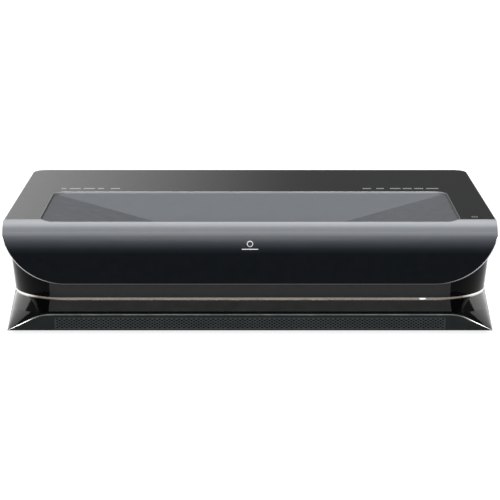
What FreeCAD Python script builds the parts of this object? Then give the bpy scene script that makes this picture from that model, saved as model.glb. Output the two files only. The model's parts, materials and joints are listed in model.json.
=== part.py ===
"""Ultra-short-throw home projector, built as separate pieces.

Millimetres, +Z up, front towards -Y, origin under the centre of the feet.
"""
import FreeCAD, Part
import math
import os

os.makedirs("parts", exist_ok=True)
V = FreeCAD.Vector

# --- Driving dimensions -------------------------------------------------
WIDTH = 600.0
DEPTH = 350.0
FOOT_GAP = 9.0            # clear height under the body
BODY_HEIGHT = 135.0
SKIN = 2.5                # wall of the moulded shells
SEAM = 0.4                # gap between neighbouring covers
TOP = FOOT_GAP + BODY_HEIGHT
BACK = DEPTH / 2
HALF = WIDTH / 2
INNER_FLOOR = FOOT_GAP + SKIN + 0.5   # top of the base tray's floor
FAR = 400.0               # past every side of the object
ACROSS = (-FAR, FAR)
BEFORE = (-FAR, 0.0)
BEYOND = (0.0, FAR)

# Head: deck and front visor
DECK_SKIN = 3.0
SLAB_BOTTOM = 127.0       # lower edge of the deck's skirt
DECK_CORNER = 18.0
DECK_EDGE = 0.8           # chamfer round the top of the deck
ROLL_RADIUS = 20.5        # small roll at the front edge of the deck
BULGE_RADIUS = 108.0      # large curve of the visor's face
BULGE_Z = 104.0
VISOR_LIP = 67.0          # lower edge of the visor
CUT_CENTRE = (225.0, 150.0)   # ellipse that rounds the visor's lower corners
CUT_RADII = (78.0, 83.0)
VISOR_TRIM = 0.9          # thickness of the bright strip under the visor

# Body column: waist and flared skirt
WAIST_Z = 43.0
TRIM_HEIGHT = 2.8
PANEL_HALF = 247.0        # half width of the dark front panels
BAND_BOTTOM = 31.0        # lower edge of the lower front panel
FRONT_PANEL_TOP = 82.0
GRILLE_Y = (-30.0, 145.0)     # louvred insert in each side
GRILLE_Z = (54.0, 116.0)
REAR_HALF = 255.0             # socket panel in the back
REAR_Z = (47.0, 120.0)
LED_X = (208.6, 217.0)
LED_HALF_HEIGHT = 0.9

# Column sections: height, half width, front, back, front radius, back radius
UPPER_SECTIONS = (
    (WAIST_Z, 296.5, -148.0, 172.0, 67.0, 30.0),
    (SLAB_BOTTOM - SEAM, 299.6, -165.0, 174.6, 45.0, 20.0))
LOWER_SECTIONS = (
    (FOOT_GAP, 297.6, -171.5, 174.0, 5.0, 10.0),
    (29.5, 296.9, -166.0, 173.0, 50.0, 24.0),
    (WAIST_Z, 296.5, -148.0, 172.0, 67.0, 30.0))

# Plinth grille
PLINTH_FRONT = -173.0
PLINTH_TOP = 29.6
PLINTH_TOP_HALF = 256.4
PLINTH_BASE_HALF = 297.6
PLINTH_FILLET = 50.0
PLINTH_BACK = -158.0
PLINTH_WALL = 2.0
PLINTH_EDGE = 1.0         # polished chamfer round the front
MESH_HALF = 239.0
MESH_Z = (11.0, 25.4)

# Recess and optical window
RECESS_HALF = 257.0
RECESS_Y = (-160.0, 21.0)
RECESS_CORNER = 16.0
RIM_Z = 141.0
FLOOR_SLOPE = 0.37
WINDOW_HALF = 52.0
WINDOW_Y = (-146.0, -76.0)
WINDOW_FRONT_Z = 86.0
LINER = 3.0
BEZEL = 0.8               # width of the bright frame round the recess

# Optics
AXIS_Z = 60.0
ENGINE = ((-75.0, 75.0), (20.0, 110.0), (26.0, 100.0))
BARREL_Y = (-60.0, 20.0)
BARREL_R = 30.0
SCREW_X = 38.0

# Cooling
FAN = 92.0
FAN_Y = 55.0
FAN_Z = 68.0
FAN_X = (266.0, 291.0)

# Rear sockets stand on the main board
BOARD_TOP = 57.6
BOARD_THICKNESS = 1.6
PANEL_Y = 169.0
SOCKET_FACE = PANEL_Y + 2.0   # rear faces of the sockets
SOCKET_GAP = 0.3
HDMI_X = (-110.0, -134.0, -158.0)
HDMI_SIZE = (14.0, 4.6, 12.0, 0.5)    # width, height, depth, wall
USB_X = (-180.0, -199.0)
USB_SIZE = (12.6, 4.9, 13.0, 0.5)
LAN_X = -222.0
LAN_SIZE = (12.0, 8.5, 18.0, 1.5)
AUDIO_X = -92.0
AUDIO_Z = BOARD_TOP + 5.0
AUDIO_NOSE_R = 3.2
INLET = (215.0, 62.0)
INLET_HALF = (14.0, 9.0)

# Sound
SPEAKER_X = 208.0
SPEAKER_Z = 62.0

# Feet and fastenings
FOOT_X = 240.0
FOOT_FRONT_Y = -120.0
FOOT_REAR_Y = 135.0
STUD_R = 4.0
MOUNT_X = 100.0
MOUNT_Y = 50.0
MOUNT_HOLE_R = 2.5
POST_TOP = 122.0
POSTS = ((276.0, -70.0), (276.0, 140.0), (60.0, 158.0),
         (-276.0, -70.0), (-276.0, 140.0), (-60.0, 158.0))

BUTTON = (275.5, -138.0)
BUTTON_R = 7.0


# --- Helpers ------------------------------------------------------------
def box(x, y, z):
    """Block between (low, high) pairs."""
    return Part.makeBox(x[1] - x[0], y[1] - y[0], z[1] - z[0], V(x[0], y[0], z[0]))


def rod(centre, axis, radius, length):
    return Part.makeCylinder(radius, length, V(*centre), V(*axis))


def pipe(centre, axis, outer, inner, length):
    return rod(centre, axis, outer, length).cut(rod(centre, axis, inner, length))


def fuse(shapes):
    body = shapes[0]
    if len(shapes) > 1:
        body = body.fuse(shapes[1:])
    return body.removeSplitter()


def mirror_x(shape):
    return shape.mirror(V(0, 0, 0), V(1, 0, 0))


def export(name, shape):
    solids = shape.Solids
    if len(solids) == 1:
        shape = solids[0]
    else:
        shape = Part.makeCompound(solids)
    shape.exportStep("parts/" + name + ".step")


def outline(half, front, back, front_r, back_r, z):
    """Rectangle with rounded front and rear corners, as a wire at height z."""
    edges = []
    corners = (
        (half, front, -1, 1, front_r), (half, back, -1, -1, back_r),
        (-half, back, 1, -1, back_r), (-half, front, 1, 1, front_r))
    count = len(corners)
    points = []
    for index, (x, y, sx, sy, r) in enumerate(corners):
        along_x = V(x + sx * r, y, z)
        along_y = V(x, y + sy * r, z)
        if index % 2:
            along_x, along_y = along_y, along_x
        bend = r * (1 - math.sqrt(0.5))
        middle = V(x + sx * bend, y + sy * bend, z)
        points.append((along_x, middle, along_y))
    for index in range(count):
        first, middle, last = points[index]
        edges.append(Part.Arc(first, middle, last).toShape())
        following = points[(index + 1) % count][0]
        edges.append(Part.LineSegment(last, following).toShape())
    return Part.Wire(edges)


def plate(wire, height):
    return Part.Face(wire).extrude(V(0, 0, height))


def prism_y(points, y0, y1):
    """Extrude an (x, z) polygon from y0 to y1."""
    wire = Part.makePolygon([V(x, y0, z) for x, z in points] + [V(points[0][0], y0, points[0][1])])
    return Part.Face(wire).extrude(V(0, y1 - y0, 0))


# --- Body column --------------------------------------------------------
def lofted(sections, inset):
    wires = []
    for z, half, front, back, front_r, back_r in sections:
        wires.append(outline(half - inset, front + inset, back - inset,
                             front_r - inset, back_r - inset, z))
    return Part.makeLoft(wires, True, True)


def skin(sections):
    return lofted(sections, 0.0).cut(lofted(sections, SKIN))


def trim_zone():
    half_height = TRIM_HEIGHT / 2
    return box(ACROSS, ACROSS, (WAIST_Z - half_height, WAIST_Z + half_height))


def grille_zone(gap):
    y = (GRILLE_Y[0] - gap, GRILLE_Y[1] + gap)
    return box((HALF - 100, FAR), y, (GRILLE_Z[0] - gap, GRILLE_Z[1] + gap))


def rear_zone(gap):
    x = (-REAR_HALF - gap, REAR_HALF + gap)
    return box(x, (BACK - 35, FAR), (REAR_Z[0] - gap, REAR_Z[1] + gap))


def side_shell(upper):
    """Gloss corner, side and rear corner of the right half."""
    shell = upper.common(box(BEYOND, ACROSS, BEYOND))
    front_middle = box((-1, PANEL_HALF + SEAM), BEFORE, BEYOND)
    rear_middle = box((-1, SEAM / 2), BEYOND, BEYOND)
    return shell.cut(front_middle).cut(rear_middle).cut(grille_zone(SEAM)).cut(rear_zone(SEAM))


def side_grille(upper):
    """Louvred insert, flush with the side shell: rows of slots in three bays."""
    pitch = 5.0
    slot = 2.4
    bays = 3
    margin = 5.0
    bar = 3.0
    bay_pitch = (GRILLE_Y[1] - GRILLE_Y[0] - 2 * margin + bar) / bays
    rows = int((GRILLE_Z[1] - GRILLE_Z[0] - 2 * pitch) / pitch) + 1
    slots = []
    for row in range(rows):
        z = GRILLE_Z[0] + pitch + row * pitch
        for bay in range(bays):
            y = GRILLE_Y[0] + margin + bay * bay_pitch
            slots.append(box((HALF - 100, FAR), (y, y + bay_pitch - bar), (z, z + slot)))
    return upper.common(grille_zone(0.0)).cut(slots)


def front_panel(shell, z_low, z_high):
    return shell.common(box((-PANEL_HALF, PANEL_HALF), BEFORE, (z_low, z_high)))


def waist_trim():
    """Metal-look band that fills the valley of the waist."""
    low, half, front, back, front_r, back_r = UPPER_SECTIONS[0]
    low -= TRIM_HEIGHT / 2
    proud = 0.4
    thick = 2.5
    band = plate(outline(half + proud, front - 0.6, back + 0.3, front_r + proud, back_r + 0.3, low),
                 TRIM_HEIGHT)
    hollow = plate(outline(half - thick, front + thick, back - thick, front_r - thick, back_r - thick, low),
                   TRIM_HEIGHT)
    return band.cut(hollow).cut(led_block(FAR))


def led_block(reach):
    """Lens of the status light, from the back of the trim out to a given reach."""
    front = UPPER_SECTIONS[0][2]
    return box(LED_X, (front - reach, front + 4.0), (WAIST_Z - LED_HALF_HEIGHT, WAIST_Z + LED_HALF_HEIGHT))


# --- Plinth -------------------------------------------------------------
def plinth_wire(inset, y):
    """Trapezoid with rounded top corners in the XZ plane."""
    top = PLINTH_TOP - inset
    base = FOOT_GAP + inset
    top_half = PLINTH_TOP_HALF - inset
    base_half = PLINTH_BASE_HALF - 2.2 * inset
    angle = math.atan2(top - base, base_half - top_half)
    tangent = PLINTH_FILLET * math.tan(angle / 2)
    bend = (top_half + tangent * math.cos(angle), top - tangent * math.sin(angle))
    start = (top_half - tangent, top)
    middle = (start[0] + PLINTH_FILLET * math.sin(angle / 2),
              top - PLINTH_FILLET * (1 - math.cos(angle / 2)))
    edges = []
    for sign in (1, -1):
        places = [V(sign * x, y, z) for x, z in (start, middle, bend, (base_half, base))]
        edges.append(Part.Arc(*places[:3]).toShape())
        edges.append(Part.LineSegment(places[2], places[3]).toShape())
    edges.append(Part.LineSegment(V(start[0], y, top), V(-start[0], y, top)).toShape())
    edges.append(Part.LineSegment(V(base_half, y, base), V(-base_half, y, base)).toShape())
    return Part.Wire(Part.__sortEdges__(edges))


def plinth_block(inset, y0, y1):
    return Part.Face(plinth_wire(inset, y0)).extrude(V(0, y1 - y0, 0))


def plinth_frame():
    """Open frame with a chamfered front edge and a long window for the mesh."""
    behind_edge = PLINTH_FRONT + PLINTH_EDGE
    rims = [plinth_wire(PLINTH_EDGE, PLINTH_FRONT), plinth_wire(0.0, behind_edge)]
    edge = Part.makeLoft(rims, True, True)
    frame = edge.fuse(plinth_block(0.0, behind_edge, PLINTH_BACK)).removeSplitter()
    frame = frame.cut(plinth_block(PLINTH_WALL, PLINTH_FRONT + PLINTH_WALL + 0.5, PLINTH_BACK))
    return frame.cut(box((-MESH_HALF, MESH_HALF), BEFORE, MESH_Z))


def plinth_mesh():
    """Speaker mesh with two rows of six-sided holes."""
    sheet = box((-MESH_HALF, MESH_HALF), (PLINTH_FRONT + 0.5, PLINTH_FRONT + 1.7), MESH_Z)
    pitch = 7.0
    hole_r = 2.6
    margin = 4.0
    columns = int(2 * (MESH_HALF - margin) / pitch)
    middle = sum(MESH_Z) / 2
    holes = []
    for row, z in enumerate((middle - 3.4, middle + 3.4)):
        for column in range(columns):
            x = -MESH_HALF + margin + 2.0 + (column + 0.5 * row) * pitch
            corners = []
            for corner in range(6):
                turn = math.radians(60 * corner)
                corners.append((x + hole_r * math.cos(turn), z + hole_r * math.sin(turn)))
            holes.append(prism_y(corners, PLINTH_FRONT - 2, PLINTH_FRONT + 4))
    return sheet.cut(holes)


def base_skirt(lower):
    """Flared lower shell: both front corners, the sides and the back."""
    skirt = lower.cut(box((-PANEL_HALF - SEAM, PANEL_HALF + SEAM), BEFORE, BEYOND))
    return skirt.cut(plinth_block(-SEAM, PLINTH_FRONT - 10, PLINTH_BACK + SEAM))


# --- Head ---------------------------------------------------------------
def head_profile(inset):
    """Side view of the deck and visor as a prism across the full width."""
    bulge_y = -BACK + BULGE_RADIUS
    rise = TOP - ROLL_RADIUS - BULGE_Z
    roll_y = bulge_y - math.sqrt((BULGE_RADIUS - ROLL_RADIUS) ** 2 - rise ** 2)
    angle = math.atan2(rise, roll_y - bulge_y)
    small = ROLL_RADIUS - inset
    large = BULGE_RADIUS - inset
    roll = V(0, roll_y, TOP - ROLL_RADIUS)
    bulge = V(0, bulge_y, BULGE_Z)

    def on(centre, radius, turn):
        return centre + V(0, radius * math.cos(turn), radius * math.sin(turn))

    low_z = VISOR_LIP - 5.0
    low_turn = math.pi - math.asin((low_z - BULGE_Z) / large)
    top_turn = math.pi / 2
    start = on(roll, small, top_turn)
    join = on(roll, small, angle)
    end = on(bulge, large, low_turn)
    back_top = V(0, BACK, start.z)
    back_low = V(0, BACK, end.z)
    edges = [
        Part.LineSegment(back_top, start).toShape(),
        Part.Arc(start, on(roll, small, (top_turn + angle) / 2), join).toShape(),
        Part.Arc(join, on(bulge, large, (angle + low_turn) / 2), end).toShape(),
        Part.LineSegment(end, back_low).toShape(),
        Part.LineSegment(back_low, back_top).toShape()]
    face = Part.Face(Part.Wire(edges))
    solid = face.extrude(V(WIDTH - 2 * inset, 0, 0))
    solid.translate(V(-HALF + inset, 0, 0))
    return solid, roll_y


HEAD, DECK_FRONT = head_profile(0.0)
HEAD_INSIDE = head_profile(DECK_SKIN)[0]


def visor_outline(inset):
    """Front view of the visor: a block whose lower corners are elliptical."""
    cx, cz = CUT_CENTRE
    rx = CUT_RADII[0] - inset
    rz = CUT_RADII[1] - inset
    half = HALF - inset
    side_turn = math.acos((half - cx) / rx)
    edges = []
    for sign in (1, -1):
        curve = Part.BSplineCurve()
        steps = 6
        points = []
        for step in range(steps + 1):
            turn = math.pi / 2 + (side_turn - math.pi / 2) * step / steps
            points.append(V(sign * (cx + rx * math.cos(turn)), -300, cz - rz * math.sin(turn)))
        curve.interpolate(points)
        edges.append(curve.toShape())
        edges.append(Part.LineSegment(points[-1], V(sign * half, -300, 200)).toShape())
    edges.append(Part.LineSegment(V(cx, -300, cz - rz), V(-cx, -300, cz - rz)).toShape())
    edges.append(Part.LineSegment(V(half, -300, 200), V(-half, -300, 200)).toShape())
    wire = Part.Wire(Part.__sortEdges__(edges))
    return Part.Face(wire).extrude(V(0, 600, 0))


def recess_block(inset, z0, z1):
    wire = outline(RECESS_HALF - inset, RECESS_Y[0] + inset, RECESS_Y[1] - inset,
                   RECESS_CORNER - inset, RECESS_CORNER - inset, z0)
    return plate(wire, z1 - z0)


def front_visor():
    """Curved front with a return wall that runs back to the body column."""
    shell = HEAD.common(visor_outline(0.0)).cut(HEAD_INSIDE.common(visor_outline(DECK_SKIN)))
    behind_deck = box(ACROSS, (DECK_FRONT, FAR), (SLAB_BOTTOM, FAR))
    behind_column = box(ACROSS, (-100, FAR), BEYOND)
    shell = shell.cut([behind_deck, behind_column, lofted(UPPER_SECTIONS, 0.0)])
    shell = shell.cut(recess_block(0.0, 60, 200))
    return max(shell.Solids, key=lambda solid: solid.Volume)


def visor_trim():
    """Bright strip along the inside of the visor's lower edge."""
    ring = visor_outline(-VISOR_TRIM).cut(visor_outline(0.0))
    core = rod((-FAR, -BACK + BULGE_RADIUS, BULGE_Z), (1, 0, 0), BULGE_RADIUS - DECK_SKIN, 2 * FAR)
    band = HEAD.common(box(ACROSS, (-FAR, -150), (0, SLAB_BOTTOM))).cut(core)
    return ring.common(band)


def top_cover():
    """Deck with a skirt round its sides and back."""
    wires = []
    for z, inset in ((SLAB_BOTTOM, 0.0), (TOP - DECK_EDGE, 0.0), (TOP, DECK_EDGE)):
        wires.append(outline(HALF - inset, DECK_FRONT, BACK - inset, 0.5, DECK_CORNER - inset, z))
    block = Part.makeLoft(wires, True, True)
    inner = outline(HALF - DECK_SKIN, DECK_FRONT - 20, BACK - DECK_SKIN, 0.5,
                    DECK_CORNER - DECK_SKIN, SLAB_BOTTOM)
    cover = block.cut(plate(inner, TOP - SLAB_BOTTOM - DECK_SKIN))
    cover = cover.cut(recess_block(0.0, 60, 200))
    cover = cover.cut(rod((BUTTON[0], BUTTON[1], 100), (0, 0, 1), BUTTON_R + 0.4, 100))
    bosses = []
    for x, y in POSTS:
        boss = rod((x, y, POST_TOP), (0, 0, 1), 5.0, TOP - DECK_SKIN - POST_TOP)
        bosses.append(boss.cut(rod((x, y, POST_TOP), (0, 0, 1), 1.5, 8.0)))
    return fuse([cover] + bosses)


# --- Recess -------------------------------------------------------------
def recess_points(grow, drop):
    """Corner points of the sunken light path."""
    floor_z = RIM_Z - FLOOR_SLOPE * (RECESS_Y[1] - WINDOW_Y[1])
    half = RECESS_HALF + grow - LINER
    back = RECESS_Y[1] + grow - LINER
    front = RECESS_Y[0] - grow + LINER
    rim = RIM_Z
    wx = WINDOW_HALF + grow
    wy = (WINDOW_Y[0] - grow, WINDOW_Y[1] + grow)
    return {
        "bl": V(-half, back, rim), "br": V(half, back, rim),
        "fl": V(-half, front, rim), "fr": V(half, front, rim),
        "w_bl": V(-wx, wy[1], floor_z - drop), "w_br": V(wx, wy[1], floor_z - drop),
        "w_fl": V(-wx, wy[0], WINDOW_FRONT_Z - drop), "w_fr": V(wx, wy[0], WINDOW_FRONT_Z - drop)}


def funnel(grow, drop):
    p = recess_points(grow, drop)
    loops = (
        ("bl", "br", "fr", "fl"), ("bl", "w_bl", "w_br", "br"),
        ("fl", "fr", "w_fr", "w_fl"), ("w_bl", "w_fl", "w_fr", "w_br"),
        ("bl", "fl", "w_bl"), ("fl", "w_fl", "w_bl"),
        ("br", "w_br", "fr"), ("fr", "w_br", "w_fr"))
    faces = []
    for loop in loops:
        corners = [p[name] for name in loop]
        faces.append(Part.Face(Part.makePolygon(corners + [corners[0]])))
    shell = Part.makeShell(faces)
    solid = Part.makeSolid(shell)
    if solid.Volume < 0:
        solid.reverse()
    return solid


def window_block(inset, low, high):
    """Tilted block over the window opening, low and high measured from its glass plane."""
    floor_z = RIM_Z - FLOOR_SLOPE * (RECESS_Y[1] - WINDOW_Y[1])
    y0 = WINDOW_Y[0] + inset
    y1 = WINDOW_Y[1] - inset
    slope = (floor_z - WINDOW_FRONT_Z) / (WINDOW_Y[1] - WINDOW_Y[0])
    z0 = WINDOW_FRONT_Z + slope * inset
    z1 = floor_z - slope * inset
    x = WINDOW_HALF - inset
    points = [V(-x, y0, z0 + low), V(-x, y1, z1 + low), V(-x, y1, z1 + high), V(-x, y0, z0 + high)]
    face = Part.Face(Part.makePolygon(points + [points[0]]))
    return face.extrude(V(2 * x, 0, 0))


def recess_liner():
    tray = funnel(LINER, LINER).cut(funnel(0.0, 0.0))
    room = HEAD_INSIDE.fuse(recess_block(0.0, 60, RIM_Z))
    return tray.common(room).cut(window_block(4.0, -30, 30))


def recess_bezel():
    """Thin bright frame that edges the recess and follows the visor's roll."""
    ring = recess_block(0.0, RIM_Z, 200).cut(recess_block(BEZEL, RIM_Z, 200))
    return ring.common(HEAD)


def projection_window():
    return window_block(4.8, -LINER, -0.6)


def window_gasket():
    return window_block(4.0, -LINER, -0.8).cut(window_block(4.8, -30, 30))


# --- Base ---------------------------------------------------------------
def base_tray():
    floor = plate(outline(294.0, -157.6, 170.4, 4.0, 7.0, FOOT_GAP), INNER_FLOOR - FOOT_GAP)
    parts = [floor]
    for x, y in POSTS:
        parts.append(rod((x, y, FOOT_GAP), (0, 0, 1), 6.0, POST_TOP - FOOT_GAP))
    for x in (-FOOT_X, FOOT_X):
        parts.append(rod((x, FOOT_FRONT_Y, FOOT_GAP), (0, 0, 1), 8.0, 22.0))
        parts.append(rod((x, FOOT_REAR_Y, FOOT_GAP), (0, 0, 1), 8.0, 8.0))
    for x in (-MOUNT_X, MOUNT_X):
        for y in (-MOUNT_Y, MOUNT_Y):
            parts.append(rod((x, y, FOOT_GAP), (0, 0, 1), 6.0, 14.0))
    tray = fuse(parts)
    holes = []
    for x, y in POSTS:
        holes.append(rod((x, y, 0), (0, 0, 1), 3.5, POST_TOP - 3.0))
        holes.append(rod((x, y, 0), (0, 0, 1), 1.8, POST_TOP + 1.0))
    for x in (-FOOT_X, FOOT_X):
        holes.append(rod((x, FOOT_FRONT_Y, 0), (0, 0, 1), STUD_R + 0.3, 60.0))
        holes.append(rod((x, FOOT_REAR_Y, 0), (0, 0, 1), 2.5, 16.0))
    for x in (-MOUNT_X, MOUNT_X):
        for y in (-MOUNT_Y, MOUNT_Y):
            holes.append(rod((x, y, 0), (0, 0, 1), MOUNT_HOLE_R, FOOT_GAP + 12.0))
    vents = []
    for column in range(12):
        for side in (-1, 1):
            x = side * (125.0 + column * 8.0)
            vents.append(box((x - 1.5, x + 1.5), (20.0, 80.0), (0, 20)))
    return tray.cut(holes).cut(vents)


def case_screws():
    screws = []
    for x, y in POSTS:
        head = rod((x, y, POST_TOP - 6.0), (0, 0, 1), 3.0, 3.0)
        shank = rod((x, y, POST_TOP - 3.0), (0, 0, 1), 1.5, 9.0)
        socket = rod((x, y, POST_TOP - 6.0), (0, 0, 1), 1.2, 1.5)
        screws.append(head.fuse(shank).cut(socket))
    return Part.makeCompound(screws)


def foot_stud(x):
    """Threaded stud, plain at the thread's outer diameter."""
    return rod((x, FOOT_FRONT_Y, 4.5), (0, 0, 1), STUD_R, 25.0)


def foot_disc(x):
    disc = rod((x, FOOT_FRONT_Y, 2.0), (0, 0, 1), 19.0, 4.8)
    notches = []
    for index in range(24):
        turn = math.radians(15 * index)
        centre = (x + 19.6 * math.cos(turn), FOOT_FRONT_Y + 19.6 * math.sin(turn), 0)
        notches.append(rod(centre, (0, 0, 1), 1.5, 10.0))
    return disc.cut(notches).cut(rod((x, FOOT_FRONT_Y, 4.5), (0, 0, 1), STUD_R, 10.0))


def foot_pad(x):
    return rod((x, FOOT_FRONT_Y, 0), (0, 0, 1), 17.0, 2.0)


def rear_feet():
    feet = []
    for x in (-FOOT_X, FOOT_X):
        pad = Part.makeCone(15.0, 17.0, FOOT_GAP, V(x, FOOT_REAR_Y, 0), V(0, 0, 1))
        plug = rod((x, FOOT_REAR_Y, FOOT_GAP), (0, 0, 1), 2.5, 6.0)
        feet.append(pad.fuse(plug))
    return Part.makeCompound(feet)


# --- Optics -------------------------------------------------------------
def chassis_plate():
    z = INNER_FLOOR
    sheet = box((-84, 84), (-140, 148), (z, z + 2.0))
    legs = []
    for x in (ENGINE[0][0] + 8, ENGINE[0][1] - 8):
        for y in (ENGINE[1][0] + 8, ENGINE[1][1] - 8):
            legs.append(rod((x, y, z), (0, 0, 1), 5.0, ENGINE[2][0] - z))
    return fuse([sheet] + legs)


def engine_housing():
    x, y, z = ENGINE
    wall = 4.0
    shell = box(x, y, z).cut(box((x[0] + wall, x[1] - wall), (y[0] + wall, y[1] - wall),
                                 (z[0] + wall, z[1] - wall)))
    lens_hole = rod((0, y[0] - 1, AXIS_Z), (0, 1, 0), 22.0, wall + 2)
    light_hole = box((x[1] - wall - 1, x[1] + 1), (50, 74), (48, 72))
    chip_hole = box((-16, 16), (y[1] - wall - 1, y[1] + 1), (50, 70))
    return shell.cut([lens_hole, light_hole, chip_hole])


def lens_barrel():
    y0, y1 = BARREL_Y
    barrel = rod((0, y0, AXIS_Z), (0, 1, 0), BARREL_R, y1 - y0)
    flange = rod((0, y1 - 4, AXIS_Z), (0, 1, 0), 46.0, 4.0)
    bore = rod((0, y0 - 1, AXIS_Z), (0, 1, 0), BARREL_R - 4, y1 - y0 + 2)
    slot = box((20, 40), (-28, -4), (AXIS_Z - 4, AXIS_Z + 4))
    flat = box((-60, 60), (0, 30), (AXIS_Z - 60, 27))
    return barrel.fuse(flange).cut(bore).cut(slot).cut(flat)


def lens(y, radius, curve, thickness):
    """Biconvex element centred on the optical axis."""
    offset = curve - thickness / 2
    front = Part.makeSphere(curve, V(0, y + offset, AXIS_Z))
    back = Part.makeSphere(curve, V(0, y - offset, AXIS_Z))
    rim = rod((0, y - thickness, AXIS_Z), (0, 1, 0), radius, 2 * thickness)
    return front.common(back).common(rim)


def lens_elements():
    inner = BARREL_R - 4
    return Part.makeCompound([lens(-50, inner, 70.0, 14.0), lens(4, inner, 90.0, 10.0)])


def focus_carriage():
    ring = pipe((0, -19, AXIS_Z), (0, 1, 0), BARREL_R - 4.4, 20.0, 6.0)
    arm = box((22, 42), (-19, -13), (AXIS_Z - 3, AXIS_Z + 3))
    arm = arm.cut(rod((0, -20, AXIS_Z), (0, 1, 0), 22.0, 10.0))
    return ring.fuse(arm).cut(rod((SCREW_X, -20, AXIS_Z), (0, 1, 0), 1.9, 10.0)).removeSplitter()


def focus_lens():
    return lens(-16, 20.0, 60.0, 8.0)


def focus_leadscrew():
    return rod((SCREW_X, -33, AXIS_Z), (0, 1, 0), 1.5, 35.0)


def focus_motor():
    can = rod((SCREW_X, 2.5, AXIS_Z), (0, 1, 0), 7.0, 13.5)
    back = box((43.5, 45), (-34, 3), (AXIS_Z - 4, AXIS_Z + 4))
    end = box((34, 45), (-34, -32.5), (AXIS_Z - 4, AXIS_Z + 4))
    end = end.cut(rod((SCREW_X, -40, AXIS_Z), (0, 1, 0), 1.8, 20.0))
    near = box((34, 45), (1.5, 3.0), (AXIS_Z - 4, AXIS_Z + 4))
    near = near.cut(rod((SCREW_X, -5, AXIS_Z), (0, 1, 0), 1.8, 20.0))
    can = can.cut(rod((SCREW_X, -5, AXIS_Z), (0, 1, 0), 1.8, 8.0))
    return fuse([can, back, end, near])


def aspheric_mirror():
    centre = V(0, 8, 84)
    bowl = Part.makeSphere(154.0, centre).cut(Part.makeSphere(150.0, centre))
    return bowl.common(box((-60, 60), (-160, -90), (40, 82)))


def mirror_bracket():
    z = INNER_FLOOR + 2.0
    foot = box((-66, 66), (-138, -100), (z, z + 3))
    arms = []
    for side in (-1, 1):
        inner = min(60 * side, 64 * side)
        arms.append(box((inner, inner + 4), (-140, -112), (z, 82)))
    return fuse([foot] + arms)


def finned_block(x, y, z, base, fin, pitch):
    """Heatsink: base plate at low y, fins across it."""
    parts = [box(x, (y[0], y[0] + base), z)]
    count = int((x[1] - x[0]) / pitch) + 1
    for index in range(count):
        left = x[0] + index * pitch
        if left + fin <= x[1]:
            parts.append(box((left, left + fin), y, z))
    return fuse(parts)


def wheel_motor():
    z = INNER_FLOOR
    can = rod((110, 64, 52), (0, 1, 0), 12.0, 16.0)
    stand = box((96, 124), (80, 83), (z, 66))
    return fuse([can, stand])


def phosphor_wheel():
    disc = pipe((110, 60, 52), (0, 1, 0), 28.0, 5.0, 1.5)
    hub = rod((110, 58.5, 52), (0, 1, 0), 9.0, 4.5)
    return disc.fuse(hub).removeSplitter()


def laser_module():
    z = INNER_FLOOR
    block = box((150, 205), (11, 70), (26, 96))
    feet = [box((x, x + 8), (y, y + 8), (z, 26)) for x in (150, 197) for y in (11, 62)]
    snout = rod((142, 62, 60), (1, 0, 0), 9.0, 8.0)
    return fuse([block, snout] + feet)


def heat_pipes():
    pipes = []
    bend = 12.0
    for z in (40.0, 60.0, 80.0):
        corner = V(237, 8, z)
        first = V(155, 8, z)
        arc_in = V(237 - bend, 8, z)
        arc_out = V(237, 8 + bend, z)
        swing = bend * math.sqrt(0.5)
        middle = V(237 - bend + swing, 8 + bend - swing, z)
        last = V(237, 99, z)
        path = Part.Wire([Part.LineSegment(first, arc_in).toShape(),
                          Part.Arc(arc_in, middle, arc_out).toShape(),
                          Part.LineSegment(arc_out, last).toShape()])
        circle = Part.Wire([Part.Circle(first, V(1, 0, 0), 3.0).toShape()])
        pipes.append(path.makePipeShell([circle], True, False))
    return Part.makeCompound(pipes)


def fin_stack():
    fins = []
    for index in range(15):
        y = 24.0 + index * 5.0
        fin = box((216, 258), (y, y + 1.0), (26, 108))
        for z in (40.0, 60.0, 80.0):
            fin = fin.cut(rod((237, y - 1, z), (0, 1, 0), 3.0, 4.0))
        fins.append(fin)
    tie = box((216, 258), (24, 95), (25, 26))
    return fuse(fins + [tie])


# --- Electronics --------------------------------------------------------
def main_board():
    board = box((-250, -84), (40, 158), (BOARD_TOP - BOARD_THICKNESS, BOARD_TOP))
    chips = [box((-200, -170), (80, 110), (BOARD_TOP, BOARD_TOP + 3)),
             box((-150, -136), (70, 84), (BOARD_TOP, BOARD_TOP + 2)),
             box((-150, -136), (92, 106), (BOARD_TOP, BOARD_TOP + 2)),
             box((-230, -222), (50, 90), (BOARD_TOP, BOARD_TOP + 6))]
    z = INNER_FLOOR
    height = BOARD_TOP - BOARD_THICKNESS - z
    legs = [rod((x, y, z), (0, 0, 1), 3.0, height) for x in (-244, -90) for y in (46, 150)]
    return fuse([board] + chips + legs)


def power_supply():
    z = INNER_FLOOR
    board = box((90, 250), (108, 150), (z + 5, z + 6.6))
    top = z + 6.6
    parts = [board, box((110, 145), (112, 146), (top, top + 30)),
             box((155, 180), (114, 144), (top, top + 24))]
    for x in (195, 215, 235):
        parts.append(rod((x, 128, top), (0, 0, 1), 8.0, 30.0))
    for x in (95, 245):
        for y in (112, 146):
            parts.append(rod((x, y, z), (0, 0, 1), 3.0, 5.0))
    return fuse(parts)


def socket_shell(x, size):
    """Metal socket shell, open to the rear, standing on the main board."""
    width, height, depth, wall = size
    half = width / 2
    front = SOCKET_FACE - depth
    outer = box((x - half - wall, x + half + wall), (front, SOCKET_FACE),
                (BOARD_TOP, BOARD_TOP + height + 2 * wall))
    inner = box((x - half, x + half), (front + 2.0, SOCKET_FACE + 1),
                (BOARD_TOP + wall, BOARD_TOP + wall + height))
    return outer.cut(inner)


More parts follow.
